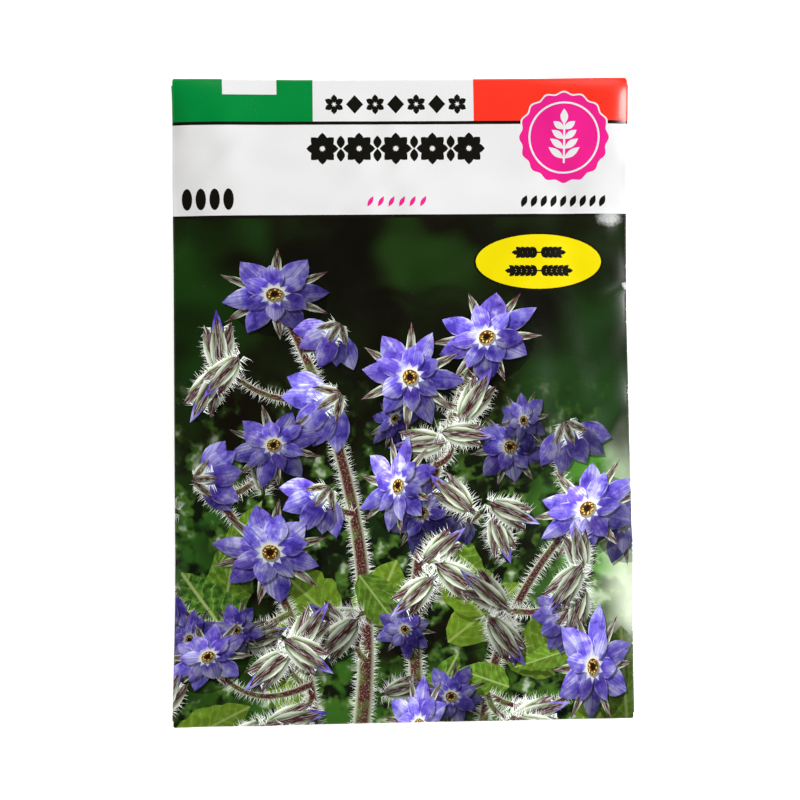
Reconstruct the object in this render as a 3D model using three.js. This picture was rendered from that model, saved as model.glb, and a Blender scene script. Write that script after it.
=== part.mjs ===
// A sealed packet of borage seed, lying on its back: one sheet of coated paper, cut, folded and glued
// into a flat envelope, with the seeds loose inside it.
//
// Millimetres. +Z points up through the printed front and +Y to the closed top edge. The origin is the
// middle of the footprint, on the surface that the packet lies on.
//
// The sheet is drawn flat first, as the printer's blank: s runs across it and t up it, with the front
// panel in the middle, a flap on each side of it, the back panel below it and the closing flap above it.
// foldedPoint(s, t) then says where each point of the blank ends up in the folded packet.

import * as THREE from "three";
import { mergeVertices } from "three/addons/utils/BufferGeometryUtils.js";

// ---- Driving dimensions ----

const PACKET_WIDTH = 82.5;
const PACKET_HEIGHT = 116;
const PAPER = 0.12; // thickness of the sheet
const GLUED_STEP = 0.24; // from the middle of one glued layer to the middle of the next
const SIDE_STEP = 0.3; // from the middle of the side flap to the middle of the front, at the side fold
const GLUE = 0.06; // thickness of a dried line of glue

const SIDE_FLAP = 9.5; // how far each side flap reaches in
const BACK_INSET = 0.9; // the back panel is this much narrower than the packet on each side
const BACK_SHORT = 3; // the back panel ends this far below the top edge, under the closing flap
const CLOSING_FLAP = 20; // how far the closing flap comes down the back
const CORNER_RELIEF = 0.85; // the folds end this far short of the front panel's corners
const FLAP_TRIM = 1.6; // how much the flaps narrow at their ends

const POCKET_DEPTH = 3.3; // how far the full lower part stands open
const NECK_DEPTH = 2.6; // how far the empty upper part stands open
const LEVEL_SHARE = 0.5; // of the way from the middle to a side fold, the front is level up to here
const BENT_SHARE = 0.86; // and from here on it slopes down evenly
const FOLD_ROLL = 0.11; // how much it rises within the first millimetre of a side fold
const SIDE_LIFT = 0.5; // how far the edges curl up off the surface
const BOTTOM_LIFT = 0.8;
const TOP_LIFT = 0.35;
const LEFT_PULL = { depth: 0.5, y: -27, reach: 34 }; // how the filling draws each side edge in
const RIGHT_PULL = { depth: 0.6, y: 25, reach: 36 };

const SEED_COUNT = 56;
const SEED = { length: 5.1, width: 3.05, thickness: 2.6 };
const SEED_BED = { x: 1.5, y: -16, halfWidth: 25, halfHeight: 27 }; // the patch of pocket where they lie
const SEED_GAP = 0.08; // clear air under a seed, which also takes up the facets of the paper
const SEED_HEADROOM = 0.3; // clear air over a seed, at the least

// ---- Lines of the folds, on the middle of the sheet's thickness ----

const SIDE_RADIUS = SIDE_STEP / 2;
const BOTTOM_RADIUS = (SIDE_STEP + GLUED_STEP) / 2;
const TOP_RADIUS = (SIDE_STEP + 2 * GLUED_STEP) / 2;
const SIDE_FOLD = PACKET_WIDTH / 2 - SIDE_RADIUS - PAPER / 2;
const BOTTOM_FOLD = PACKET_HEIGHT / 2 - BOTTOM_RADIUS - PAPER / 2;
const TOP_FOLD = PACKET_HEIGHT / 2 - TOP_RADIUS - PAPER / 2;
const BACK_EDGE = PACKET_WIDTH / 2 - BACK_INSET;

// ---- Form of the filled packet ----

const clamp01 = (value) => Math.min(1, Math.max(0, value));
const ramp = (value, from, to) => clamp01((value - from) / (to - from));
const smooth = (value, from, to) => {
  const share = ramp(value, from, to);
  return share * share * (3 - 2 * share);
};

// How far the back panel stands off the surface: flat in the middle, curled up at the edges, and raised
// by the closing flap that lies under its top.
function lift(x, y) {
  const side = SIDE_LIFT * ramp(Math.abs(x), 22, SIDE_FOLD) ** 2;
  const bottom = BOTTOM_LIFT * ramp(-y, 30, BOTTOM_FOLD) ** 2;
  const top = TOP_LIFT * ramp(y, 30, TOP_FOLD) ** 2;
  const overFlap = 1.1 * GLUED_STEP * smooth(y, 18, 36);
  return side + bottom + top + overFlap;
}

// How far the front stands off the back, beyond what the folds hold apart. It is nothing at the edges,
// rises evenly over the stiff side flaps, and levels off towards the middle.
function opening(x, y) {
  const depth = NECK_DEPTH + (POCKET_DEPTH - NECK_DEPTH) * smooth(-y, -34, 2);
  const across = 1 - fall(Math.abs(x / SIDE_FOLD)) / fall(1);
  const along = y < 0 ? 1 - (-y / BOTTOM_FOLD) ** 6 : 1 - (y / TOP_FOLD) ** 5;
  return depth * across * along;
}

// A section that is level up to LEVEL_SHARE, then bends, and runs straight from BENT_SHARE on.
function fall(share) {
  const bent = ramp(share, LEVEL_SHARE, BENT_SHARE);
  return (BENT_SHARE - LEVEL_SHARE) * (bent ** 3 - bent ** 4 / 2) + Math.max(share - BENT_SHARE, 0);
}

// Soft buckles that the paper takes along its side folds, and the slow warp of the whole front.
function buckles(x, y) {
  const fromSide = SIDE_FOLD - Math.abs(x);
  const fromEnd = Math.min(y + BOTTOM_FOLD, TOP_FOLD - y);
  const held = (1 - Math.exp(-fromSide / 2.5)) * (1 - Math.exp(-fromEnd / 4));
  const wave = x < 0 ? Math.sin(y / 2.9 + 1.3 * Math.sin(y / 11)) : Math.sin(y / 2.3 + 1.6 * Math.sin(y / 8 + 1));
  const warp = 0.1 * Math.sin(x / 9 + 0.6) * Math.cos(y / 12 + x / 25);
  return held * (0.3 * wave * Math.exp(-fromSide / 6) + warp);
}

// How far a point of any layer is drawn in towards the middle, most at the side edges.
function pulledIn(x, y) {
  const pull = x < 0 ? LEFT_PULL : RIGHT_PULL;
  const bow = 1 - smooth(Math.abs(y - pull.y), 0, pull.reach);
  return -Math.sign(x) * pull.depth * bow * Math.abs(x / SIDE_FOLD) ** 3;
}

const backHeight = (x, y) => PAPER / 2 + lift(x, y);
const roll = (x) => FOLD_ROLL * (1 - Math.exp((Math.abs(x) - SIDE_FOLD) / 0.7));
const frontHeight = (x, y) =>
  backHeight(x, y) + GLUED_STEP + SIDE_STEP + opening(x, y) + buckles(x, y) + roll(x);

// ---- The blank, and how it folds ----

// Where a strip goes that leaves the front panel over a fold of the given radius, and how far it then
// runs back under it: the way out past the fold line, the drop, and the way back.
function overFold(beyond, radius) {
  const turn = beyond / radius;
  if (turn < Math.PI) return { out: radius * Math.sin(turn), drop: radius * (1 - Math.cos(turn)), back: 0 };
  return { out: 0, drop: 2 * radius, back: beyond - Math.PI * radius };
}

function foldedPoint(s, t) {
  const point = squareFold(s, t);
  point.x += pulledIn(point.x, point.y);
  return point;
}

// The fold about straight lines, before the filling draws the sides in.
function squareFold(s, t) {
  if (Math.abs(s) > SIDE_FOLD) {
    const strip = overFold(Math.abs(s) - SIDE_FOLD, SIDE_RADIUS);
    const x = Math.sign(s) * (SIDE_FOLD + strip.out - strip.back);
    const z = strip.back > 0 ? backHeight(x, t) + GLUED_STEP : frontHeight(SIDE_FOLD, t) - strip.drop;
    return new THREE.Vector3(x, t, z);
  }
  if (t < -BOTTOM_FOLD) {
    const strip = overFold(-BOTTOM_FOLD - t, BOTTOM_RADIUS);
    const y = -(BOTTOM_FOLD + strip.out - strip.back);
    const z = strip.back > 0 ? backHeight(s, y) : frontHeight(s, -BOTTOM_FOLD) - strip.drop;
    return new THREE.Vector3(s, y, z);
  }
  if (t > TOP_FOLD) {
    const strip = overFold(t - TOP_FOLD, TOP_RADIUS);
    const y = TOP_FOLD + strip.out - strip.back;
    const z = strip.back > 0 ? backHeight(s, y) - GLUED_STEP : frontHeight(s, TOP_FOLD) - strip.drop;
    return new THREE.Vector3(s, y, z);
  }
  return new THREE.Vector3(s, t, frontHeight(s, t));
}

// ---- Sheets with a thickness ----

// Cells of a grid, each split into two triangles that face the printed side.
function gridTriangles(columns, rows, place) {
  const corners = [];
  for (let i = 1; i < columns.length; i++) {
    for (let j = 1; j < rows.length; j++) {
      const a = place(columns[i - 1], rows[j - 1]);
      const b = place(columns[i], rows[j - 1]);
      const c = place(columns[i], rows[j]);
      const d = place(columns[i - 1], rows[j]);
      corners.push(a, b, c, a, c, d);
    }
  }
  return corners;
}

// One closed solid, of the given thickness, round a surface of triangles that may have free edges.
function thickSheet(corners, thickness) {
  const loose = new THREE.BufferGeometry().setFromPoints(corners);
  const middle = mergeVertices(loose, 1e-4);
  middle.computeVertexNormals();
  const position = middle.attributes.position;
  const normal = middle.attributes.normal;
  const index = middle.index.array;
  const count = position.count;
  const points = [];
  for (const side of [0.5, -0.5]) {
    for (let i = 0; i < count; i++) {
      const point = new THREE.Vector3().fromBufferAttribute(position, i);
      const away = new THREE.Vector3().fromBufferAttribute(normal, i);
      points.push(point.addScaledVector(away, side * thickness));
    }
  }
  const used = new Set();
  for (let i = 0; i < index.length; i += 3) {
    for (let k = 0; k < 3; k++) used.add(index[i + k] + "," + index[i + ((k + 1) % 3)]);
  }
  const faces = [];
  for (let i = 0; i < index.length; i += 3) {
    const [a, b, c] = [index[i], index[i + 1], index[i + 2]];
    faces.push(a, b, c, a + count, c + count, b + count);
    for (const [from, to] of [[a, b], [b, c], [c, a]]) {
      if (used.has(to + "," + from)) continue;
      faces.push(to, from, from + count, to, from + count, to + count);
    }
  }
  return new THREE.BufferGeometry().setFromPoints(points).setIndex(faces);
}

// ---- Grid lines that all the layers share, so that their facets lie parallel ----

const FOLD_STEPS = 3;
const mirrored = (lines) => [...lines.map((line) => -line).reverse(), 0, ...lines];

const ACROSS = [5.5, 11, 16.5, 22, 27, SIDE_FOLD - SIDE_FLAP, 33, 35.7, 38.4, BACK_EDGE, SIDE_FOLD];
const UP = [
  -BOTTOM_FOLD, CORNER_RELIEF - BOTTOM_FOLD, -54, -50, -46, -42, -37.5, -33, -28, -23, -18, -13, -8, -3,
  2, 7, 12, 17, 22, 27, 32, 36, PACKET_HEIGHT / 2 - CLOSING_FLAP, 41, 45.5, 50, 53,
  PACKET_HEIGHT / 2 - BACK_SHORT, TOP_FOLD - CORNER_RELIEF, TOP_FOLD,
];

// The blank's lines over a fold and along the strip behind it, out to the last of the given lines.
function stripLines(fold, radius, lines) {
  const bend = Array.from({ length: FOLD_STEPS + 1 }, (_, i) => fold + (Math.PI * radius * i) / FOLD_STEPS);
  return [...bend, ...lines.map((line) => fold + Math.PI * radius + (fold - line))];
}

const descending = (lines, from, to) => lines.filter((line) => line < from && line >= to).reverse();

// ---- The envelope: front panel, side flaps, back panel and closing flap in one folded sheet ----

function envelopeGeometry() {
  const columns = mirrored(ACROSS);
  const innerColumns = columns.slice(1, -1);
  const innerRows = UP.slice(1, -1);
  const flapInner = SIDE_FOLD - SIDE_FLAP;
  const sideLines = stripLines(SIDE_FOLD, SIDE_RADIUS, descending(ACROSS, SIDE_FOLD, flapInner));
  const backTop = PACKET_HEIGHT / 2 - BACK_SHORT;
  const backRows = UP.map((line) => -line).reverse();
  const backLines = stripLines(BOTTOM_FOLD, BOTTOM_RADIUS, descending(backRows, BOTTOM_FOLD, -backTop));
  const flapEnd = PACKET_HEIGHT / 2 - CLOSING_FLAP;
  const topLines = stripLines(TOP_FOLD, TOP_RADIUS, descending(UP, TOP_FOLD, flapEnd));

  // The ends of each flap slant in by FLAP_TRIM between its fold and its free edge.
  const slant = (line, ends, beyond, reach) => {
    const atEnd = line === ends[0] ? 1 : line === ends[ends.length - 1] ? -1 : 0;
    return line + atEnd * FLAP_TRIM * clamp01(beyond / reach);
  };
  const onSide = (s, t) => foldedPoint(s, slant(t, innerRows, Math.abs(s) - SIDE_FOLD, SIDE_FLAP));
  const onTop = (s, t) => foldedPoint(slant(s, innerColumns, t - TOP_FOLD, CLOSING_FLAP), t);

  const negative = (lines) => lines.map((line) => -line).reverse();
  const corners = [
    ...gridTriangles(columns, UP, foldedPoint),
    ...gridTriangles(sideLines, innerRows, onSide),
    ...gridTriangles(negative(sideLines), innerRows, onSide),
    ...gridTriangles(innerColumns, negative(backLines), foldedPoint),
    ...gridTriangles(innerColumns, topLines, onTop),
  ];
  return thickSheet(corners, PAPER);
}

// ---- Lines of glue between the layers ----

// A film over the back panel's grid, half a glued step above its middle (side 1) or below it (side -1).
function glueGeometry(left, right, bottom, top, side) {
  const within = (lines, from, to) => lines.filter((line) => line >= from - 1e-9 && line <= to + 1e-9);
  const place = (x, y) => new THREE.Vector3(x + pulledIn(x, y), y, backHeight(x, y) + (side * GLUED_STEP) / 2);
  return thickSheet(gridTriangles(within(mirrored(ACROSS), left, right), within(UP, bottom, top), place), GLUE);
}

// ---- Seeds ----

// A nutlet that lies along X: blunt at its ring-shaped base, keeled along its sides and drawn to a point.
function seedGeometry() {
  const profile = [[0, -0.46], [0.3, -0.5], [0.44, -0.3], [0.5, -0.02], [0.38, 0.27], [0.17, 0.44], [0, 0.5]];
  const sides = 8;
  const outline = profile.map(([radius, along]) => new THREE.Vector2(radius, along));
  const geometry = new THREE.LatheGeometry(outline, sides);
  const position = geometry.attributes.position;
  for (let i = 0; i < position.count; i++) {
    const ring = Math.floor(i / profile.length) % 2;
    const keel = ring === 0 ? 1 : 0.93;
    position.setX(i, position.getX(i) * keel * SEED.width);
    position.setZ(i, position.getZ(i) * keel * SEED.thickness);
    position.setY(i, position.getY(i) * SEED.length);
  }
  return geometry.rotateZ(-Math.PI / 2); // from standing along Y to lying along X
}

// A linear congruential generator, so that every build scatters the seeds alike.
function randomNumbers(state) {
  return () => {
    state = (Math.imul(state, 1664525) + 1013904223) >>> 0;
    return state / 2 ** 32;
  };
}

// Drops seeds one by one into the bed. Each keeps clear of those before it, both ends of it counted,
// and lies only where the pocket is deep enough.
function scatterSeeds() {
  const random = randomNumbers(7);
  const reach = (SEED.length - SEED.width) / 2;
  const apart = SEED.width + 0.2;
  const deepEnough = PAPER + SEED_GAP + SEED.thickness + SEED_HEADROOM;
  const seeds = [];
  while (seeds.length < SEED_COUNT) {
    const across = 2 * random() - 1;
    const along = 2 * random() - 1;
    const yaw = 2 * Math.PI * random();
    if (Math.hypot(across, along) > 1) continue;
    const x = SEED_BED.x + across * SEED_BED.halfWidth;
    const y = SEED_BED.y + along * SEED_BED.halfHeight;
    const ends = [-1, 1].map((way) => [x + way * reach * Math.cos(yaw), y + way * reach * Math.sin(yaw)]);
    const deep = ends.every(([ex, ey]) => {
      const outer = 1 + SEED.width / Math.hypot(ex, ey);
      return frontHeight(outer * ex, outer * ey) - backHeight(outer * ex, outer * ey) > deepEnough;
    });
    const clear = seeds.every((seed) =>
      ends.every(([ex, ey]) => seed.ends.every(([ox, oy]) => Math.hypot(ex - ox, ey - oy) > apart)),
    );
    const floor = Math.max(...ends.map(([ex, ey]) => backHeight(1.08 * ex, 1.08 * ey)));
    if (deep && clear) seeds.push({ x, y, z: floor + PAPER / 2 + SEED_GAP + SEED.thickness / 2, yaw, ends });
  }
  return seeds;
}

// ---- Materials ----

const material = (color, roughness) => new THREE.MeshStandardMaterial({ color, roughness, metalness: 0 });
const printedPaper = material(0xeceded, 0.45);
const driedGlue = material(0xe4d9b4, 0.5);
const seedCoat = material(0x2b2018, 0.8);

// ---- Assembly ----

const packet = new THREE.Group();

function add(name, geometry, finish) {
  const mesh = new THREE.Mesh(geometry, finish);
  mesh.name = name;
  packet.add(mesh);
  return mesh;
}

add("envelope", envelopeGeometry(), printedPaper);
add("side_seam_glue_left", glueGeometry(-38.4, -33, -50, 50, 1), driedGlue);
add("side_seam_glue_right", glueGeometry(33, 38.4, -50, 50, 1), driedGlue);
add("closing_flap_glue", glueGeometry(-33, 33, 41, 50, -1), driedGlue);

const nutlet = seedGeometry();
scatterSeeds().forEach((seed, i) => {
  const mesh = add("seed_" + String(i + 1).padStart(2, "0"), nutlet, seedCoat);
  mesh.position.set(seed.x, seed.y, seed.z);
  mesh.rotation.z = seed.yaw;
});

export default packet;
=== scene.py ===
# A sealed packet of borage seed: one printed sheet of coated paper, folded and glued round its seeds.
# Forms are worked out in millimetres, and become metres where a mesh is made from them.

import math
import random

import bpy
import numpy as np
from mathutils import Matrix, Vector
from mathutils.geometry import delaunay_2d_cdt


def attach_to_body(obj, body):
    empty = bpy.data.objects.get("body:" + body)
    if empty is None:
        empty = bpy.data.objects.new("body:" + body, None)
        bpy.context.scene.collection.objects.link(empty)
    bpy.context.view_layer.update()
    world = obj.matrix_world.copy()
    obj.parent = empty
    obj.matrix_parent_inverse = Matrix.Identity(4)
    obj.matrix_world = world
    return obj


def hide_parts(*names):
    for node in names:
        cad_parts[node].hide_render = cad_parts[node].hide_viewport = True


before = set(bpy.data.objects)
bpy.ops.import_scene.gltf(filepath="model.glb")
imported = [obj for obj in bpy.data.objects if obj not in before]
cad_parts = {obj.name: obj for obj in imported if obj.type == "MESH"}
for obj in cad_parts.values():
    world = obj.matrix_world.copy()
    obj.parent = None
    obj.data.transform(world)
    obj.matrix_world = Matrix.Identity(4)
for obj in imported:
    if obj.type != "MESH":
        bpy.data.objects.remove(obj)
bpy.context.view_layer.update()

# ---- The folded sheet ----
# The packet is one sheet of thin coated paper, cut as a flat blank: the front panel, a flap on each side
# of it, the back panel below it and the closing flap above it. The flaps are folded over scored lines and
# glued, and the seeds puff the front up. s runs across the flat blank and t up it, from the front's middle.

MM = 0.001
PACKET_WIDTH = 82.5
PACKET_HEIGHT = 116.0
PAPER = 0.12
GLUED_STEP = 0.24  # from a layer to the one glued to it
SIDE_STEP = 0.3  # and from a side flap to the front
SIDE_FLAP = 9.5
BACK_INSET = 0.9
BACK_SHORT = 3.0
CLOSING_FLAP = 20.0
CORNER_RELIEF = 0.85
FLAP_TRIM = 1.6
POCKET_DEPTH = 3.3
NECK_DEPTH = 1.9
SWELL_REACH = 2.4  # within how far of a side fold the front swells up from it
SIDE_LIFT = 0.5  # how far the back curls up at each fold
BOTTOM_LIFT = 0.8
TOP_LIFT = 0.35
SKEW = 0.005  # the folds across and the print rise this much to the right: it was folded a little askew
LEFT_LINE = (  # how far the edge is drawn in at each height
    (-58, -0.28), (-52, -0.1), (-45, 0.1), (-37, 0.28), (-28, 0.35), (-12, 0.29), (9, 0.28), (24, 0.27),
    (38, 0.15), (48, 0.2), (54, 0.15), (58, -0.04),
)
RIGHT_LINE = (
    (-58, -0.15), (-48, -0.1), (-40, -0.14), (-30, -0.23), (-26, -0.24), (-23, -0.04), (-16, 0.0), (-8, 0.2),
    (0, 0.3), (8, 0.41), (14, 0.53), (20, 0.53), (31, 0.5), (40, 0.34), (47, 0.16), (52, 0.04), (58, -0.04),
)
BOTTOM_LINE = (  # and at each place across
    (-41, -0.13), (-36, -0.03), (-31, -0.07), (-25, -0.16), (-18, -0.05), (0, 0.0), (20, 0.02), (33, 0.12),
    (41, 0.12),
)
TOP_LINE = (
    (-41, 0.02), (-34, 0.0), (-24, 0.12), (-19, 0.2), (0, 0.17), (16, 0.12), (25, 0.09), (34, 0.02),
    (41, 0.0),
)

SIDE_RADIUS = SIDE_STEP / 2
BOTTOM_RADIUS = (SIDE_STEP + GLUED_STEP) / 2
TOP_RADIUS = (SIDE_STEP + 2 * GLUED_STEP) / 2
SIDE_FOLD = PACKET_WIDTH / 2 - SIDE_RADIUS - PAPER / 2
BOTTOM_FOLD = PACKET_HEIGHT / 2 - BOTTOM_RADIUS - PAPER / 2
TOP_FOLD = PACKET_HEIGHT / 2 - TOP_RADIUS - PAPER / 2
BACK_EDGE = PACKET_WIDTH / 2 - BACK_INSET

WAVES = (  # height, length, heading
    (0.050, 14.0, 20), (0.036, 10.0, 82), (0.030, 8.0, 141), (0.024, 19.0, 112),
)
PUCKERS = (  # small bumps and dents, drawn out inwards: x, y, height, half width, half length, turn
    (40.1, 20.0, -0.16, 1.5, 0.7, 25), (36.8, 31.6, 0.6, 2.4, 2.3, 5), (39.5, 25.5, 0.1, 1.3, 3.5, 0),
    (39.2, -14.0, 0.1, 1.5, 5.0, 0), (39.2, -42.0, 0.15, 1.6, 13.0, 0), (-38.0, 44.5, -0.1, 5.0, 2.2, 20),
    (28.3, 38.6, -1.1, 5.2, 5.2, 0),
)


def ramp(value, start, end):
    return np.clip((value - start) / (end - start), 0, 1)


def smooth(value, start, end):
    share = ramp(value, start, end)
    return share * share * (3 - 2 * share)


def back_height(x, y):
    """The back panel's level: it curls up towards the folds, and the closing flap lifts it at the top."""
    side = SIDE_LIFT * ramp(np.abs(x), 22, SIDE_FOLD) ** 2
    bottom = BOTTOM_LIFT * ramp(-y, 30, BOTTOM_FOLD) ** 2
    top = TOP_LIFT * ramp(y, 30, TOP_FOLD) ** 2
    return PAPER / 2 + side + bottom + top + 1.1 * GLUED_STEP * smooth(y, 18, 36)


def opening(x, y):
    """How far the front stands off the back. From the middle to a fold it is level up to one share of the
    way, and falls evenly from another on: later at the neck than lower down, and latest at its left."""
    depth = NECK_DEPTH + (POCKET_DEPTH - NECK_DEPTH) * smooth(-y, -34, 2)
    level = np.where(x < 0, 0.5 + 0.2 * smooth(y, 16, 34), 0.45 + 0.13 * smooth(y, 31, 38))
    bent = np.where(x < 0, 0.86 + 0.04 * smooth(y, 16, 34), 0.64 + 0.12 * smooth(y, 31, 38))
    across = 1 - fall(np.abs(x / SIDE_FOLD), level, bent) / fall(1, level, bent)
    along = np.where(y < 0, 1 - np.abs(y / BOTTOM_FOLD) ** 6, 1 - np.abs(y / TOP_FOLD) ** 5)
    return depth * across * along


def fall(share, level, bent):
    bend = ramp(share, level, bent)
    return (bent - level) * (bend**3 - bend**4 / 2) + np.maximum(share - bent, 0)


def buckles(x, y):
    """Short ripples along the sides and faint waves over the whole front. The folds hold them down."""
    from_side = SIDE_FOLD - np.abs(x)
    from_end = np.minimum(y + BOTTOM_FOLD, TOP_FOLD - y)
    held = (1 - np.exp(-from_side / 2.5)) * (1 - np.exp(-from_end / 4))
    left = np.sin(y / 2.9 + 1.3 * np.sin(y / 11))
    right = np.sin(y / 2.3 + 1.6 * np.sin(y / 8 + 1))
    slow = 0.1 * np.sin(x / 9 + 0.6) * np.cos(y / 12 + x / 25)
    for height, length, heading in WAVES:
        turn = math.radians(heading)
        phase = math.tau * (x * math.cos(turn) + y * math.sin(turn)) / length
        slow = slow + height * np.sin(phase + 1.9 * np.sin(0.37 * phase + (x - y) / 23))
    return held * (0.3 * np.where(x < 0, left, right) * np.exp(-from_side / 6) + slow)


def puckered(x, y):
    """The height that the puckers add. Each tails off more slowly towards the packet's middle."""
    height = 0
    for at_x, at_y, rise, half_width, half_length, turn in PUCKERS:
        turn = math.radians(turn)
        dx, dy = x - at_x, y - at_y
        across = (dx * math.cos(turn) + dy * math.sin(turn)) / half_width
        across = np.where(across * at_x < 0, across / 3, across)
        along = (dy * math.cos(turn) - dx * math.sin(turn)) / half_length
        height = height + rise * np.exp(-(across**2) - along**2)
    return height


def swelling(x, y):
    """How the front swells up out of the side folds: most at the top right, and least beside the heading."""
    right = 0.24 - 0.12 * smooth(y, 22, 33) + 1.15 * np.exp(-(((y - 52.3) / 6.5) ** 2))
    left = 0.08 + 0.34 * smooth(-y, -4, 14) + 0.66 * np.exp(-(((y - 52.0) / 5) ** 2))
    from_side = SIDE_FOLD - np.abs(x)
    return np.where(x < 0, left, right) * np.tanh(from_side / SWELL_REACH) * np.exp(-((from_side / 14) ** 2))


def front_height(x, y):
    """The front panel's level, from the back's up."""
    edge = 1 - np.exp((np.abs(x) - SIDE_FOLD) / 1.2)
    end = 1 - np.exp(np.minimum(y - TOP_FOLD, 0) / 0.9)
    stand_off = back_height(x, y) + GLUED_STEP + SIDE_STEP
    return stand_off + opening(x, y) + buckles(x, y) + end * (swelling(x, y) + edge * puckered(x, y))


def over_fold(beyond, radius):
    """How far paper that passes a fold by this much goes on out, down, and back under."""
    turn = np.clip(beyond / radius, 0, math.pi)
    back = np.maximum(beyond - math.pi * radius, 0)
    return radius * np.sin(turn), radius * (1 - np.cos(turn)), back


def drawn_in(out, along, fold, power, low_line, high_line):
    """Draws in the places near two opposite edges, so that those run along their lines."""
    for way, line in ((-1, low_line), (1, high_line)):
        share = np.where(out * way > 0, np.abs(out / fold), 0) ** power
        out = out - way * share * np.interp(along, *zip(*line))
    return out


def folded_point(s, t):
    """Where points of the flat blank come to lie in the folded packet, as rows of x, y and z."""
    x, y, z = np.array(s, float), np.array(t, float), front_height(s, t)

    past = np.abs(s) > SIDE_FOLD
    out, drop, back = over_fold(np.abs(s[past]) - SIDE_FOLD, SIDE_RADIUS)
    x[past] = np.sign(s[past]) * (SIDE_FOLD + out - back)
    level = back_height(x[past], t[past]) + GLUED_STEP
    z[past] = np.where(back > 0, level, front_height(SIDE_FOLD, t[past]) - drop)
    for way, fold, radius, layer in (
        (-1, BOTTOM_FOLD, BOTTOM_RADIUS, 0), (1, TOP_FOLD, TOP_RADIUS, -GLUED_STEP),
    ):
        past = way * t > fold
        out, drop, back = over_fold(way * t[past] - fold, radius)
        y[past] = way * (fold + out - back)
        level = back_height(s[past], y[past]) + layer
        z[past] = np.where(back > 0, level, front_height(s[past], way * fold) - drop)

    across = drawn_in(x, y, SIDE_FOLD, power=3, low_line=LEFT_LINE, high_line=RIGHT_LINE)
    up = drawn_in(y, x, TOP_FOLD, power=20, low_line=BOTTOM_LINE, high_line=TOP_LINE)
    return np.stack([across, up + SKEW * across, z], axis=1)


def sheet_normal(s, t):
    """The way that the printed side faces at points of the blank."""
    step = 0.01
    across = folded_point(s + step, t) - folded_point(s - step, t)
    up = folded_point(s, t + step) - folded_point(s, t - step)
    normal = np.cross(across, up)
    return normal / np.linalg.norm(normal, axis=1, keepdims=True)


# The blank's outline, counter-clockwise, and the lines across it that carry its curves.
SIDE_END = SIDE_FOLD + math.pi * SIDE_RADIUS + SIDE_FLAP
BACK_END = -BOTTOM_FOLD - math.pi * BOTTOM_RADIUS - (BOTTOM_FOLD + PACKET_HEIGHT / 2 - BACK_SHORT)
FLAP_END = TOP_FOLD + math.pi * TOP_RADIUS + TOP_FOLD - (PACKET_HEIGHT / 2 - CLOSING_FLAP)
BEND_STEPS = 5
CORNER_STEPS = 5
EDGE_STEP = 1.6  # how long the pieces of the cut edge are
FRONT_END = 57.6  # the lines up the front are spaced out to here, and so crowd near both folds
EDGE_GAP = 0.12  # how near the cut edge a point may lie


def rounded_corner(way, level, radius, cut, inset=SIDE_FOLD - BACK_EDGE):
    """A front corner cut round, from its upright edge to the level fold and on into the bend there."""
    turns = [math.radians(90 / CORNER_STEPS * k) for k in range(CORNER_STEPS + 1)]
    return [
        (way * (SIDE_FOLD + (math.cos(a) - 1) * inset),
         math.copysign(abs(level) - cut + (cut + 1.6 * radius) * math.sin(a), level))
        for a in turns
    ]


def densified(outline, step):
    """The outline with its sides split into pieces about one step long."""
    points = []
    for (s0, t0), (s1, t1) in zip(outline, outline[1:] + outline[:1]):
        count = max(1, round(math.hypot(s1 - s0, t1 - t0) / step))
        points += [(s0 + (s1 - s0) * k / count, t0 + (t1 - t0) * k / count) for k in range(count)]
    return points


def blank_outline():
    """The outline's right half from the bottom up, then its left half from the top down."""
    halves = []
    for way, bottom_cut, top_cut, top_inset in ((1, 0.1, 0.4, 1.2), (-1, 0.1, 0.3, 0.7)):
        halves.append([
            (way * BACK_EDGE, BACK_END),
            *rounded_corner(way, -BOTTOM_FOLD, BOTTOM_RADIUS, bottom_cut)[::-1],
            (way * SIDE_FOLD, CORNER_RELIEF - BOTTOM_FOLD),
            (way * SIDE_END, CORNER_RELIEF - BOTTOM_FOLD + FLAP_TRIM),
            (way * SIDE_END, TOP_FOLD - CORNER_RELIEF - FLAP_TRIM),
            (way * SIDE_FOLD, TOP_FOLD - CORNER_RELIEF),
            *rounded_corner(way, TOP_FOLD, TOP_RADIUS, top_cut, top_inset),
            (way * (BACK_EDGE - FLAP_TRIM), FLAP_END),
        ])
    return densified(halves[0] + halves[1][::-1], EDGE_STEP)


def graded(fold, count):
    """Lines from one fold to the other, closer together towards the folds."""
    half = [fold * (1 - (1 - k / count) ** 1.4) for k in range(1, count + 1)]
    return [-line for line in reversed(half)] + [0.0] + half


def evenly(start, end, step):
    count = max(1, round(abs(end - start) / step))
    return [start + (end - start) * k / count for k in range(1, count + 1)]


def bend_lines(fold, radius):
    return [fold + math.pi * radius * k / BEND_STEPS for k in range(1, BEND_STEPS + 1)]


def inside(points, outline, margin):
    """Which points lie inside the outline, and no nearer to it than margin."""
    start = np.array(outline)
    edge = np.roll(start, -1, axis=0) - start
    kept = np.ones(len(points), bool)
    crossings = np.zeros(len(points), int)
    for (s0, t0), (ds, dt) in zip(start, edge):
        if margin:
            from_start = points - (s0, t0)
            along = np.clip((from_start @ (ds, dt)) / (ds * ds + dt * dt), 0, 1)
            kept &= np.hypot(*(from_start - along[:, None] * (ds, dt)).T) > margin
        spans = (t0 > points[:, 1]) != (t0 + dt > points[:, 1])
        reach = s0 + (points[:, 1] - t0) * ds / (dt if dt else 1)
        crossings += spans & (points[:, 0] < reach)
    return kept & (crossings % 2 == 1)


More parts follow.
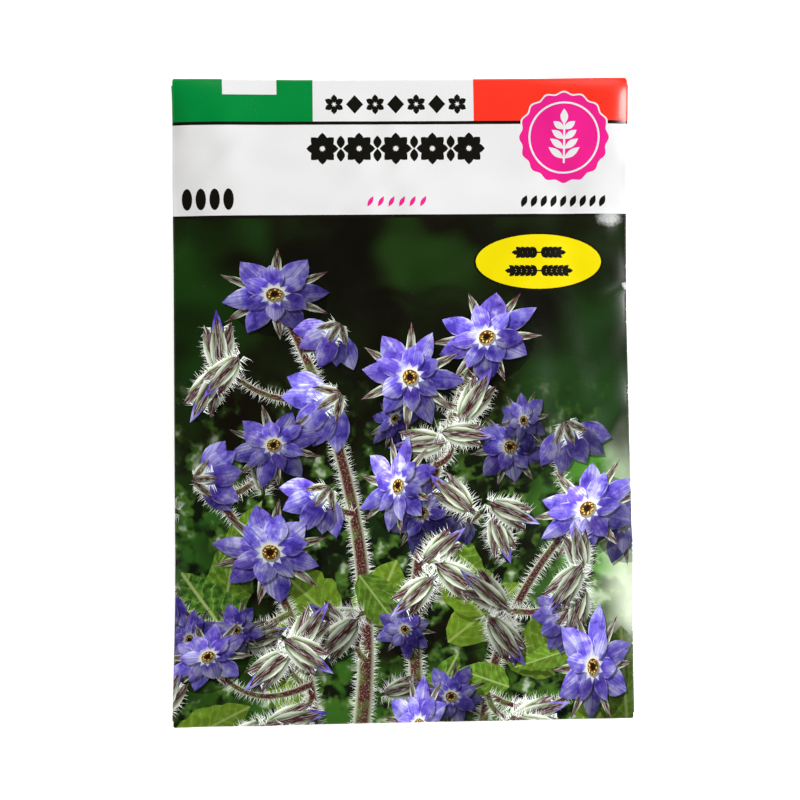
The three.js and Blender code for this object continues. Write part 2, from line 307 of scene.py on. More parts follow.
def lattice(outline, front_lines, back_lines, strip_step):
    """Points that carry the sheet's curves, and the score lines that its facets must follow. The lines
    across and up the sheet are counted from its middle to a fold."""
    side = bend_lines(SIDE_FOLD, SIDE_RADIUS)
    bottom = [-line for line in bend_lines(BOTTOM_FOLD, BOTTOM_RADIUS)]
    top = bend_lines(TOP_FOLD, TOP_RADIUS)
    across, back_across = (graded(SIDE_FOLD, lines[0]) for lines in (front_lines, back_lines))
    up, side_up = ([line for line in graded(FRONT_END, lines[1]) if -BOTTOM_FOLD < line < TOP_FOLD]
                   + [-BOTTOM_FOLD, TOP_FOLD] for lines in (front_lines, back_lines))
    strip = side + evenly(side[-1], SIDE_END, strip_step)
    blocks = [
        (across, up),
        (strip, side_up),
        ([-line for line in strip], side_up),
        (back_across, bottom + evenly(bottom[-1], BACK_END, strip_step)),
        (back_across, top + evenly(top[-1], FLAP_END, strip_step)),
    ]
    for x, y, _, half_width, half_length, _ in PUCKERS:
        step = min(half_width, half_length) / 3
        if step < 0.8:
            blocks.append((np.arange(x - 2 * half_width, min(x + 2 * half_width, SIDE_FOLD), step),
                           np.arange(y - 2 * half_length, y + 2 * half_length, step)))
    grid = np.concatenate([np.stack(np.meshgrid(s, t), -1).reshape(-1, 2) for s, t in blocks])
    uprights = [way * line for line in [SIDE_FOLD, *side] for way in (-1, 1)]
    levels = [-BOTTOM_FOLD, *bottom, TOP_FOLD, *top]
    scores = [((line, -70), (line, 70)) for line in uprights]
    scores += [((-60, line), (60, line)) for line in levels]
    return grid[inside(grid, outline, EDGE_GAP)], scores


def triangulated(polygons, points, edges):
    """Splits the plane along polygons and edges. Gives its points, its counter-clockwise triangles, and
    for each triangle the numbers of the polygons that cover it."""
    corners, faces = [], []
    for polygon in polygons:
        faces.append(list(range(len(corners), len(corners) + len(polygon))))
        corners += [tuple(p) for p in polygon]
    corners += [tuple(p) for p in points]
    first = len(corners)
    corners += [end for edge in edges for end in edge]
    lines = [(first + 2 * k, first + 2 * k + 1) for k in range(len(edges))]
    found = delaunay_2d_cdt([Vector(c) for c in corners], lines, faces, 0, 1e-5, True)
    flat = np.array([tuple(v) for v in found[0]])
    triangles = np.array(found[2])
    a, b, c = (flat[triangles[:, k]] for k in range(3))
    area = (b[:, 0] - a[:, 0]) * (c[:, 1] - a[:, 1]) - (b[:, 1] - a[:, 1]) * (c[:, 0] - a[:, 0])
    triangles[area < 0] = triangles[area < 0][:, ::-1]
    return flat, triangles, found[5], found[3]


# ---- The print ----
# The front is printed in one pass, in flat inks and in a picture of a flowering herb, and varnished. The
# print runs a little way over each fold, and the rest of the sheet is bare. Each ink area is an outline on
# the flat blank; a later one covers the ones before it, and a shadow darkens them.

PAGE = (48, 66)  # half the width and height of the field that the print is laid out in
TOP_BAND = (50.06, 49.46)  # the level of the rule under the three blocks: its upper and lower edge
PICTURE_RULE = (33.18, 32.6)
BLOCKS_TOP = 62
BLEED = 2.5
GREEN_END = -15.9
RED_START = 13.1

PRINT_STEP = 2.4  # about how long the straight pieces of a printed outline are

printed = []


def stamp(outline, ink, origin=(0, 0), along=(1, 0), across=(0, 1), tone=0.5, light=1.0, lean=0.0):
    """Prints one area. Its outline is in steps of along and across from origin. Light brightens it, and
    lean does so more and more across it. With no ink it is a shadow, and light is what it lets through."""
    axes = np.array([along, across], float)
    points = np.asarray(origin, float) + np.asarray(outline, float) @ axes
    points = np.array(densified([tuple(p) for p in points], PRINT_STEP))
    following = np.roll(points, -1, axis=0)
    if np.sum(points[:, 0] * following[:, 1] - points[:, 1] * following[:, 0]) < 0:
        points = points[::-1]
    printed.append({
        "points": points, "ink": ink, "origin": np.asarray(origin, float), "axes": axes,
        "tone": tone, "light": light, "lean": lean,
    })


def block(left, bottom, right, top):
    return [(left, bottom), (right, bottom), (right, top), (left, top)]


def ellipse(half_width, half_height, sides, scallop=0.0, lobes=0):
    """An oval, whose rim may wave in and out in lobes."""
    turns = [math.tau * k / sides for k in range(sides)]
    return [
        (half_width * (1 + scallop * math.cos(lobes * a)) * math.cos(a),
         half_height * (1 + scallop * math.cos(lobes * a)) * math.sin(a))
        for a in turns
    ]


def blade(steps=7, fullest=1.0, base=0.0):
    """A pointed oval from (base, 0) to (1, 0), one step wide on each side. Above 1, fullest moves its
    widest place towards the tip."""
    shares = [base + (1 - base) * k / steps for k in range(steps + 1)]
    half = [math.sin(math.pi * share**fullest) for share in shares]
    sides = [(share, -width) for share, width in zip(shares, half)]
    return sides + [(share, width) for share, width in reversed(list(zip(shares, half))[1:-1])]


draw = random.Random(4)
LIGHT_WAY = np.array([-0.55, 0.83])  # where the picture's sunlight comes from
SHADE_WAY = np.array([0.42, -0.6])  # where a shadow falls, for each millimetre that it falls through
HAIR_HALF = 0.055


def turned(angle):
    """Two rows: one step along this angle, and one step to the left of it."""
    return np.array([[math.cos(angle), math.sin(angle)], [-math.sin(angle), math.cos(angle)]])


def shade(outline, origin, along, across, depth, light):
    """Prints the shadow of a shape on what lies this far behind it."""
    stamp(outline, None, origin + depth * SHADE_WAY, along, across, light=light)


def bloom(x, y, radius, yaw, tilt, light):
    """An open flower with two rounds of petals, seen at a tilt, and a golden boss in a pale throat."""
    page = np.diag([1, math.cos(tilt)]) @ turned(yaw)
    shade(ellipse(0.8, 0.8, 20), (x, y), *(radius * page), 2.2, 0.45)
    for k in range(6):
        spin = turned(math.tau * (k + 0.5) / 6 + draw.uniform(-0.1, 0.1)) @ page
        stamp(blade(4), "sepal", (x, y), 1.04 * radius * spin[0], 0.1 * radius * spin[1],
              draw.random(), light)
    for rank, (count, reach, width) in enumerate(((6, 1.0, 0.24), (6, 0.7, 0.19))):
        for k in range(count):
            angle = math.tau * (k + 0.5 * rank) / count + draw.uniform(-0.16, 0.16)
            spin = turned(angle) @ page
            length = radius * reach * draw.uniform(0.84, 1.08)
            along, across = length * spin[0], radius * width * draw.uniform(0.8, 1.12) * spin[1]
            way = along / np.linalg.norm(along)
            bright = light * (0.84 + 0.45 * way @ LIGHT_WAY + 0.14 * rank + draw.uniform(-0.25, 0.25))
            lean = 0.42 * (across / np.linalg.norm(across)) @ LIGHT_WAY
            fullest = draw.uniform(1.05, 1.4)
            shade(blade(5, fullest, 0.06), (x, y), along, across, 0.8, 0.36)
            stamp(blade(8, fullest, 0.06), "petal", (x, y), along, across, draw.random(), bright, lean)
    star = [(reach * math.cos(0.314 * k), reach * math.sin(0.314 * k))
            for k, reach in enumerate((1, 0.6) * 10)]
    stamp(star, "throat", (x, y), *(0.29 * radius * page), light=light)
    shade(ellipse(1, 1, 10), (x, y), *(0.16 * radius * page), 0.5, 0.3)
    stamp(ellipse(1, 1, 14), "boss", (x, y), *(0.14 * radius * page), draw.random(), light)


def half_open(x, y, size, angle, light):
    """A flower seen from the side, its petals fanned out of a cup of hairy sepals."""
    origin = np.array([x, y])
    for spread in (1.0, -1.0, 0.6, -0.6, 0.1):
        along, across = turned(angle + spread * draw.uniform(0.8, 1.0))
        length = size * draw.uniform(0.85, 1.05)
        bright = light * (0.8 + 0.42 * along @ LIGHT_WAY + draw.uniform(-0.2, 0.2))
        lean = 0.42 * across @ LIGHT_WAY
        fullest = draw.uniform(1.1, 1.4)
        along, across = length * along, 0.24 * size * across
        shade(blade(5, fullest), origin, along, across, 0.8, 0.42)
        stamp(blade(8, fullest), "petal", origin, along, across, draw.random(), bright, lean)
    way = turned(angle)[0]
    hairs([origin - 0.1 * size * way, origin + 0.35 * size * way], [0.16 * size], 1.5, 0.13, light)
    for spread in (0.8, -0.8, 0.0):
        along, across = turned(angle + spread)
        stamp(blade(5, 0.8), "sepal", origin - 0.1 * size * way, 0.55 * size * along, 0.1 * size * across,
              draw.random(), light * (0.9 + 0.3 * along @ LIGHT_WAY))


def curve(start, end, bow, steps):
    """Points from start to end, bowed to the left of the way by bow times the distance."""
    start, end = np.asarray(start, float), np.asarray(end, float)
    side = np.array([start[1] - end[1], end[0] - start[0]])
    shares = [k / steps for k in range(steps + 1)]
    return [start + (end - start) * u + side * bow * 4 * u * (1 - u) for u in shares]


def hairs(points, half_widths, length, gap, light):
    """Fine stiff hairs that stand off both sides of a stem or bud."""
    for p, q, half in zip(points, points[1:], half_widths):
        reach = np.linalg.norm(q - p)
        way = (q - p) / reach
        count = max(1, round(reach / gap))
        for side in (-1, 1):
            out = side * np.array([-way[1], way[0]])
            for k in range(count):
                root = p + way * reach * (k + draw.random()) / count + out * half * 0.8
                tip = (out + way * draw.uniform(-0.6, 0.6)) * length * draw.uniform(0.45, 1.15)
                stamp([(0, -1), (1, 0), (0, 1)], "hair", root, tip, HAIR_HALF * way,
                      light=light * draw.uniform(0.9, 1.6))


def stem(start, end, bow, width, tip_width, light, gap=0.26):
    """A round stem, drawn as a row of short pieces along a curve."""
    steps = max(4, round(np.linalg.norm(np.subtract(end, start)) / 2.2))
    points = curve(start, end, bow, steps)
    halves = [(width + (tip_width - width) * k / steps) / 2 for k in range(steps + 1)]
    hairs(points, halves, 1.4, gap, light)
    normals = []
    for k in range(steps + 1):
        way = points[min(k + 1, steps)] - points[max(k - 1, 0)]
        normals.append(np.array([-way[1], way[0]]) / np.linalg.norm(way))
    for k in range(steps):
        p, q = points[k], points[k + 1]
        corners = [p - halves[k] * normals[k], q - halves[k + 1] * normals[k + 1],
                   q + halves[k + 1] * normals[k + 1], p + halves[k] * normals[k]]
        axes = np.array([q - p, halves[k] * normals[k]])
        outline = [np.linalg.solve(axes.T, corner - p) for corner in corners]
        stamp(outline, "stem", p, *axes, tone=k / steps, light=light, lean=0.35 * normals[k] @ LIGHT_WAY)
    return points


def bud(x, y, length, angle, light):
    """A closed flower: long hairy sepals spread from their base round the furled petals."""
    origin = np.array([x, y])
    way, side = turned(angle)
    spine = [origin + way * length * u for u in (-0.08, 0.1, 0.3, 0.55, 0.8)]
    shade(blade(5, 0.9), origin, length * way, 0.3 * length * side, 1.2, 0.33)
    hairs(spine, [length * w for w in (0.06, 0.15, 0.21, 0.14)], 2.0, 0.13, light)
    stamp(blade(5), "petal", origin + 0.3 * length * way, 0.78 * length * way, 0.1 * length * side,
          draw.random(), 0.85 * light, 0.3 * side @ LIGHT_WAY)
    for spread, reach in ((0.26, 0.88), (-0.26, 0.9), (0.0, 0.96)):
        along, across = turned(angle + spread * draw.uniform(0.8, 1.2))
        along, across = reach * length * along, 0.15 * length * across
        bright = light * (0.85 + 1.2 * spread * side @ LIGHT_WAY + draw.uniform(-0.12, 0.12))
        stamp(blade(6, 0.8), "sepal", origin, along, across, draw.random(), bright)


def leaf(x, y, length, width, angle, light):
    """A broad leaf with a waved edge, one half in the light."""
    along, across = turned(angle)
    steps = 14
    shares = [k / steps for k in range(steps + 1)]
    rows = []
    for side in (-1, 1):
        swell = [draw.uniform(0.9, 1.1) * math.sin(math.pi * u**0.8) ** 0.8 for u in shares]
        rows.append([(u, side * w) for u, w in zip(shares, swell)])
    outline = rows[0] + rows[1][-2:0:-1]
    lean = 0.35 * across @ LIGHT_WAY
    along, across = length * along, width / 2 * across
    shade(outline, (x, y), along, across, 1.6, 0.5)
    stamp(outline, "leaf", (x, y), along, across, draw.random(), light, lean)


# The picture: leafy stems of unequal height, with flowers and buds all over them, in front of a garden
# far out of focus.
stamp(block(-PAGE[0], -PAGE[1], PAGE[0], PICTURE_RULE[1] + 0.2), "garden")


def crest(x):
    """How high the flowers reach at each place across."""
    return -14 + 37 * math.exp(-(((x + 21) / 18) ** 2)) + 26 * math.exp(-(((x - 15) / 15) ** 2))


for k in range(13):
    x = -40 + 6.6 * k + draw.uniform(-2, 2)
    leaf(x, draw.uniform(-64, -38), draw.uniform(12, 20), draw.uniform(7, 11), draw.uniform(0.3, 2.9),
         draw.uniform(0.4, 1.1))
trunks = [
    stem((-8, -60), (-23, 19), -0.08, 3.2, 1.4, 0.95, 0.17),
    stem((3, -60), (15, 11), 0.08, 2.7, 1.3, 0.9, 0.17),
    stem((-16, -60), (-37, -14), -0.1, 2.1, 1.2, 0.85, 0.2),
    stem((14, -60), (33, -20), 0.1, 2.1, 1.2, 0.85, 0.2),
]
for k in range(6):
    x = -34 + 13 * k + draw.uniform(-3, 3)
    leaf(x, draw.uniform(-54, -24), draw.uniform(9, 14), draw.uniform(4, 7), draw.uniform(-1, 4),
         draw.uniform(0.75, 1.2))
joints = np.array([p for trunk in trunks for p in trunk[3:]])
spots = [(*trunk[-1], True) for trunk in trunks]
FLOWER_GAP = 12.4
TRIES = 700
for k in range(TRIES):
    x, y = draw.uniform(-45, 39), draw.uniform(-60, 25)
    if y < crest(x) and all(math.hypot(x - u, y - v) > FLOWER_GAP for u, v, _ in spots):
        spots.append((x, y, draw.random() < 0.6))
spots.sort(key=lambda spot: -spot[1])
for x, y, is_bloom in spots:
    below = joints[joints[:, 1] < y - 4]
    if not len(below):
        below = joints
    root = below[np.argmin(np.hypot(*(below - (x, y)).T))]
    bow = draw.uniform(0.1, 0.28) * (1 if x < root[0] else -1)
    stem(root, (x, y), bow, 1.3, 0.8, draw.uniform(0.7, 1.0))
for k in range(22):
    x, y = draw.uniform(-42, 40), draw.uniform(-57, 10)
    if y < crest(x) - 5:
        kind = draw.random()
        if kind < 0.4:
            bloom(x, y, draw.uniform(5.5, 7.5), draw.uniform(0, 6.28), draw.uniform(0.2, 1.0), 0.45)
        elif kind < 0.65:
            half_open(x, y, draw.uniform(6.0, 8.0), draw.uniform(3.0, 6.4), 0.5)
        else:
            bud(x, y, draw.uniform(7, 9), draw.uniform(0.2, 2.9), 0.6)
for x, y, is_bloom in spots:
    near = 0.62 + 0.75 * draw.random() ** 0.8
    if is_bloom and draw.random() < 0.7:
        bloom(x, y, draw.uniform(8.6, 10.8), draw.uniform(0, 6.28), draw.uniform(0.1, 0.9), near)
    elif is_bloom:
        half_open(x, y, draw.uniform(8.0, 10.0), draw.uniform(3.0, 6.4), near)
    else:
        for k in range(3):
            angle = draw.uniform(0.2, 2.9) if k == 1 else draw.uniform(3.2, 6.2)
            bud(x + draw.uniform(-2.5, 2.5), y + draw.uniform(-1, 4), draw.uniform(8.5, 11.0), angle, near)

# The heading: a paper-white field with a block of green and one of red over it, ruled off in black.
stamp(block(-PAGE[0], PICTURE_RULE[1], PAGE[0], BLOCKS_TOP), "bare_paper")
stamp(block(-PAGE[0], TOP_BAND[1], GREEN_END, BLOCKS_TOP), "green")
stamp(block(RED_START, TOP_BAND[1], PAGE[0], BLOCKS_TOP), "red")
stamp(block(-32.15, 55.02, -22.4, BLOCKS_TOP), "bare_paper")
for upper, lower in (TOP_BAND, PICTURE_RULE):
    stamp(block(-PAGE[0], lower, PAGE[0], upper), "black")


def leaflet(x, y, angle, length, width, ink, steps=7):
    along, across = turned(angle)
    stamp(blade(steps), ink, (x, y), length * along, width * across)


def sprig(x, y, reach, height, pairs, ink):
    """A level twig with pairs of leaves that open away from its middle."""
    stamp(block(-reach, -0.05 * height, reach, 0.05 * height), ink, (x, y))
    for way in (-1, 1):
        for k in range(pairs):
            for side in (-1, 1):
                leaflet(x + way * reach * (k + 0.35) / pairs, y, math.atan2(side * 0.8, way),
                        0.62 * height, 0.17 * height, ink, 6)
        stamp(blade(6), ink, (x + way * reach * 0.97, y), (way * 0.6 * height, 0), (0, 0.17 * height))


def rosette(x, y, radius, petals, ink):
    for k in range(petals):
        spin = turned(math.tau * k / petals + math.pi / 2)
        stamp(blade(6, 1.3, 0.12), ink, (x, y), radius * spin[0], 0.3 * radius * spin[1])


def lozenge(x, y, half_width, half_height, ink):
    stamp([(-1, 0), (0, -1), (1, 0), (0, 1)], ink, (x, y), (half_width, 0), (0, half_height))


# Plain ornaments in the heading: a bold row of rosettes and leaves, with smaller rows round it.
for k in range(-2, 3):
    rosette(-1.0 + 6.6 * k, 45.1, 2.9, 8, "black")
for k in range(-1, 3):
    for side in (-1, 1):
        leaflet(-4.3 + 6.6 * k, 45.1, math.pi / 2 * side, 2.4, 0.75, "black")
for k in range(-3, 4):
    if k % 2:
        rosette(-0.95 + 3.7 * k, 53.2, 1.85, 6, "black")
    else:
        lozenge(-0.95 + 3.7 * k, 53.2, 1.55, 1.75, "black")
for k in range(6):
    stamp(blade(6), "pink", (-6.2 + 1.9 * k, 34.6), (1.1, 1.9), (-0.34, 0.2))
for k in range(4):
    stamp(ellipse(1, 1, 16), "black", (-38.6 + 2.5 * k, 36.1), (0.95, 0), (0, 1.95))
for k in range(9):
    stamp(blade(6), "black", (21.7 + 1.8 * k, 34.4), (1.0, 2.2), (-0.5, 0.23))

# A round rosette seal in pink, half over the red block, with a white ring and twig in it.
SEAL = (29.5, 47.0)
stamp(ellipse(8.25, 8.25, 160, 0.03, 16), "bare_paper", SEAL)
stamp(ellipse(7.95, 7.95, 160, 0.03, 16), "pink", SEAL)
stamp(ellipse(6.5, 6.5, 48), "bare_paper", SEAL)
stamp(ellipse(6.15, 6.15, 48), "pink", SEAL)
stamp(block(-0.18, -4.6, 0.18, 3.0), "bare_paper", SEAL)
for k in range(4):
    for side in (-1, 1):
        leaflet(SEAL[0], SEAL[1] - 3.8 + 1.75 * k, math.pi / 2 - side * 0.95, 3.5 - 0.35 * k, 0.62,
                "bare_paper")
stamp(blade(7), "bare_paper", (SEAL[0], SEAL[1] + 2.3), (0, 2.9), (0.7, 0))

# A yellow oval on the picture, edged in black, with a plain twig.
OVAL = (24.8, 24.55)
stamp(ellipse(11.95, 5.3, 64), "black", OVAL)
stamp(ellipse(11.55, 4.92, 64), "yellow", OVAL)
sprig(OVAL[0], OVAL[1] + 1.65, 3.6, 2.6, 4, "black")
sprig(OVAL[0], OVAL[1] - 1.65, 4.9, 2.6, 5, "black")

# Past the bleed the sheet is bare: the flaps behind the side folds, the closing flap and the back panel.
side_print = SIDE_FOLD + math.pi * SIDE_RADIUS + BLEED
bottom_print = -BOTTOM_FOLD - math.pi * BOTTOM_RADIUS - BLEED
top_print = TOP_FOLD + math.pi * TOP_RADIUS + BLEED
for left, bottom, right, top in (
    (side_print, -80, 60, 80), (-60, -80, -side_print, 80), (-60, -200, 60, bottom_print),
    (-60, top_print, 60, 100),
):
    stamp(block(left, bottom, right, top), "bare_paper")

# ---- The inks ----
# Process inks on coated paper, under a thin varnish that gives a soft gloss. The ink cracks off the fibres
# where the sheet is folded and handled, which leaves pale nicks along the edges.


class Wire:
    """One output of a node. A sum of it adds the node that works the sum out, and an index or a name
    gives another output of the same node."""

    def __init__(self, socket):
        self.socket = socket

    def __getitem__(self, name):
        return Wire(self.socket.node.outputs[name])

    def __add__(self, other):
        return calc("ADD", self, other)

    def __sub__(self, other):
        return calc("SUBTRACT", self, other)

    def __mul__(self, other):
        return calc("MULTIPLY", self, other)

    def __abs__(self):
        return calc("ABSOLUTE", self)


def put(tree, kind, inputs=None, **settings):
    """Adds a node, a shader's one unless kind says otherwise, and gives its first output. Each input is
    given a value or a wire."""
    node = tree.nodes.new(kind if "Node" in kind else "ShaderNode" + kind)
    for name, value in settings.items():
        setattr(node, name, value)
    for name, value in (inputs or {}).items():
        if isinstance(value, Wire):
            tree.links.new(value.socket, node.inputs[name])
        else:
            node.inputs[name].default_value = value
    return Wire(node.outputs[0]) if node.outputs else None


def follow(kind, inputs, **settings):
    """Adds a node in the tree that its wires come from."""
    tree = next(value.socket.id_data for value in inputs.values() if isinstance(value, Wire))
    return put(tree, kind, inputs, **settings)


def calc(operation, *values):
    return follow("Math", dict(enumerate(values)), operation=operation)


def vector(operation, *values):
    return follow("VectorMath", dict(enumerate(values)), operation=operation)


def parts(value):
    return follow("SeparateXYZ", {0: value})


def far_from(where, x, y, half_width, half_height):
    """How far off a middle places are, counted in half widths and half heights."""
    away = vector("SUBTRACT", where, (x, y, 0))
    return vector("LENGTH", vector("MULTIPLY", away, (1 / half_width, 1 / half_height, 0)))["Value"]


def between(value, low, high, to_low=0.0, to_high=1.0):
    inputs = {"Value": value, "From Min": low, "From Max": high, "To Min": to_low, "To Max": to_high}
    return follow("MapRange", inputs, interpolation_type="SMOOTHSTEP")


def noise(where, scale, detail=2.0, roughness=0.5):
    return follow("TexNoise", {"Vector": where, "Scale": scale, "Detail": detail, "Roughness": roughness})


def srgb(red, green, blue):
    levels = np.array([red, green, blue]) / 255
    return (*np.where(levels <= 0.04045, levels / 12.92, ((levels + 0.055) / 1.055) ** 2.4).tolist(), 1.0)


def mixed(share, first, second, how="MIX"):
    """Mixes two colours. Three plain numbers are a colour's levels on a screen, up to 255."""
    first, second = (srgb(*c) if isinstance(c, tuple) and len(c) == 3 else c for c in (first, second))
    return follow("MixRGB", {"Fac": share, "Color1": first, "Color2": second}, blend_type=how)


def washed(colour, *washes):
    """Lays washes over a colour one by one, each as strongly as its own mask says."""
    for mask, wash in washes:
        colour = mixed(mask, colour, wash)
    return colour


def dimmed(colour, level):
    return mixed(1.0, colour, follow("CombineColor", {0: level, 1: level, 2: level}), "MULTIPLY")


def new_group(name, inputs, outputs, kind="ShaderNodeTree"):
    """A node group with named sockets, and its inputs as wires."""
    tree = bpy.data.node_groups.new(name, kind)
    for in_out, sockets in (("INPUT", inputs), ("OUTPUT", outputs)):
        for label, holds in sockets.items():
            tree.interface.new_socket(label, in_out=in_out, socket_type="NodeSocket" + holds)
    return tree, put(tree, "NodeGroupInput")


def new_material(name):
    material = bpy.data.materials.new(name)
    material.use_nodes = True
    material.node_tree.nodes.clear()
    return material, material.node_tree


def finish(tree, colour, roughness, height, strength, relief):
    """Closes a material: its surface has this much relief, in millimetres, where height goes from 0 to 1."""
    bump = put(tree, "Bump", {"Height": height, "Strength": strength, "Distance": relief * MM})
    shader = put(tree, "BsdfPrincipled", {
        "Base Color": colour, "Roughness": roughness, "Normal": bump, "IOR": 1.5,
    })
    put(tree, "OutputMaterial", {"Surface": shader})


def varnish_group():
    """Fibre grain and roller mottle under the varnish, which is cracked dull over the side folds."""
    tree, given = new_group("varnished_paper", {"Blank": "Vector", "Grain": "Float"},
                            {"Roughness": "Float", "Height": "Float", "Tint": "Float"})
    blank = given["Blank"]
    cracked = between(abs(parts(blank)), SIDE_FOLD - 0.25, SIDE_FOLD + 0.05, 0.0, 0.4)
    fibres = noise(blank, 2.6, 3.0, 0.6)
    mottle = noise(blank, 0.16)
    orange_peel = noise(blank, 0.9, 1.0)
    put(tree, "NodeGroupOutput", {
        "Roughness": fibres * 0.14 + mottle * 0.12 + 0.1 + cracked,
        "Height": fibres * given["Grain"] + orange_peel,
        "Tint": mottle * 0.05 + fibres * 0.03 + 0.96,
    })
    return tree


# The first patch widens the real glare off the bump just below the picture rule with a painted highlight;
# the others are small pale spots at a crease on the right fold.
GLARE_AND_CREASE_SPOTS = (  # where paper white is laid over the ink: x, y, half width, half height, how much
    (37.9, 32.4, 2.3, 1.35, 0.7), (40.8, 20.5, 0.5, 0.3, 0.8), (41.0, 20.15, 0.6, 0.4, 0.9),
    (41.25, 19.8, 0.6, 0.4, 0.9),
)
NICKED = 0.1  # the nicks lie along a line this far past each fold


def wear_and_glare_group():
    """Where paper white shows through the ink: nicks along the folds and a few faint specks on the face,
    where ink is lost; and beside the right fold a painted highlight of the window's glare, and small pale
    spots at a crease.
    """
    tree, given = new_group("lost_ink_and_glare", {"Blank": "Vector"}, {"Wear_and_glare": "Float"})
    blank = given["Blank"]
    across, up, _ = parts(blank)
    from_side = abs(abs(across) - (SIDE_FOLD + NICKED))
    from_end = calc("MINIMUM", abs(up - (TOP_FOLD + NICKED)), abs(up + (BOTTOM_FOLD + NICKED)))
    more_at_right = between(across, -20, 30, 0.35, 1.0) * between(up, 31, 34, 1.0, 0.6)
    near_side = between(from_side, 0.0, 0.5, 1.0, 0.0) * more_at_right
    near = calc("MAXIMUM", near_side, between(from_end, 0.0, 0.3, 0.6, 0.0))
    ragged = noise(blank, 2.2, 3.0, 0.7) + noise(blank, 0.18, 1.0) * 0.35
    nicks = between(ragged + near * 0.2, 0.95, 1.0) * between(near, 0.0, 0.2)
    specks = between(noise(blank, 4.5, 1.0), 0.8, 0.86, 0.0, 0.5)
    whitened = calc("MAXIMUM", nicks, specks)
    grain = between(noise(blank, 5.0, 3.0, 0.7), 0.35, 0.6, 0.45, 1.0)
    patch_wobble = noise(blank, 1.6, 3.0, 0.7) * 0.9
    # The patches: a painted highlight of glare beside the right fold, and small pale spots at a crease.
    for x, y, half_width, half_height, strength in GLARE_AND_CREASE_SPOTS:
        pale_patch = between(far_from(blank, x, y, half_width, half_height) + patch_wobble, 0.9, 1.75, strength, 0.0)
        whitened = calc("MAXIMUM", whitened, pale_patch * grain)
    put(tree, "NodeGroupOutput", {"Wear_and_glare": whitened})
    return tree


GLOWS_AND_EDGE_GLARE = (  # where the far garden is lit, and a pale painted highlight at the lower right: x, y, half width, half height, strength, colour
    (-36, 22, 14, 22, 0.7, (28, 68, 18)), (4, 26, 14, 8, 0.6, (34, 66, 18)),
    (34, 2, 15, 22, 0.8, (28, 68, 18)), (-41, -24, 16, 22, 0.8, (52, 104, 34)),
    (-2, -22, 24, 18, 0.7, (26, 52, 20)),
    (-16, -54, 30, 16, 0.8, (60, 112, 30)), (38, -24, 18, 22, 0.85, (96, 168, 56)),
    # This first glow is a pale painted highlight along the lower right fold, partly print and partly the
    # window's glare on the rounded fold.
    (44.8, -34, 9.6, 34, 0.98, (232, 246, 216)), (20, -56, 26, 12, 0.8, (82, 132, 40)),
    (20, 24, 12, 16, 0.85, (9, 8, 3)), (-14, 18, 14, 20, 0.85, (10, 8, 3)), (2, 2, 16, 12, 0.8, (10, 9, 4)),
)
GLOW_SHIFT = 34  # how far the glows are drawn out of shape, in millimetres


def far_garden_group():
    """Foliage far out of focus, as soft patches of green on near black, and along the lower right fold a
    pale glow that is partly print and partly a painted highlight of glare.
    """
    tree, given = new_group("far_garden", {"Blank": "Vector"}, {"Color": "Color"})
    shift = vector("ADD", noise(given["Blank"], 0.07, 1.0)["Color"], (-0.5, -0.5, 0))
    place = vector("ADD", given["Blank"], vector("MULTIPLY", shift, (GLOW_SHIFT, GLOW_SHIFT, 0)))
    colour = mixed(between(noise(place, 0.06), 0.4, 0.7), (15, 12, 4), (24, 38, 11))
    for x, y, half_width, half_height, strength, hue in GLOWS_AND_EDGE_GLARE:
        glow = between(far_from(place, x, y, half_width, half_height), 0.15, 1.0, strength, 0.0)
        colour = mixed(glow, colour, hue)
    put(tree, "NodeGroupOutput", {"Color": colour})
    return tree


varnish = varnish_group()
lost_ink_and_glare = wear_and_glare_group()
far_garden = far_garden_group()


def paint_garden(blank, motif):
    """The far garden, and nearer down the thicket of stems, leaves and hairs behind the flowers, half
    out of focus."""
    far = follow("Group", {"Blank": blank}, node_tree=far_garden)
    tangle = noise(vector("ADD", blank, (7, 3, 0)), 0.32, 2.0, 0.55)
    across, up, _ = parts(blank)
    thick = between(noise(blank, 0.2), 0.42, 0.58) * between(up, 8, -22) * between(across, 33, 40, 1.0, 0.2)
    growth = washed(
        (12, 18, 6),
        (between(tangle, 0.44, 0.58), (70, 106, 38)),
        (between(tangle, 0.58, 0.7, 0.0, 0.8), (196, 210, 180)),
    )
    return mixed(thick, far, growth)


def paint_petal(blank, motif):
    """Violet, paler towards the tip and the rim, creased along its middle, with fine darker veins."""
    along, aside, tone = parts(motif)
    veins = noise(vector("MULTIPLY", motif, (1.5, 8.0, 40.0)), 1.0, 3.0, 0.6)
    sheen = noise(blank, 0.28, 3.0, 0.6)
    return washed(
        (92, 74, 212),
        (between(along, 0.2, 0.95), (152, 146, 240)),
        (tone * 0.45, (124, 80, 196)),
        (between(sheen, 0.34, 0.48, 0.85, 0.0), (44, 28, 138)),
        (between(sheen, 0.47, 0.64, 0.0, 0.9), (212, 212, 252)),
        (between(veins, 0.4, 0.62, 0.5, 0.0), (68, 46, 168)),
        (between(aside, -0.04, 0.05, 0.0, 0.35), (72, 54, 172)),
        (between(along, 0.16, 0.42, 0.8, 0.0), (198, 200, 248)),
        (between(abs(aside), 0.8, 1.0, 0.0, 0.55), (210, 208, 250)),
    )


def paint_throat(blank, motif):
    return mixed(between(far_from(motif, 0, 0, 1, 1), 0.5, 1.0), (240, 240, 226), (164, 166, 232))


def paint_boss(blank, motif):
    """A ring of golden anthers round a dark middle."""
    away = far_from(motif, 0, 0, 1, 1)
    dots = follow("TexVoronoi", {"Vector": vector("MULTIPLY", motif, (1, 1, 0)), "Scale": 3.4})
    anthers = mixed(between(dots, 0.25, 0.5), (250, 226, 120), (110, 60, 18))
    return washed(
        (34, 18, 10),
        (between(away, 0.35, 0.6), anthers),
        (between(away, 0.8, 1.0, 0.0, 0.7), (80, 40, 18)),
    )


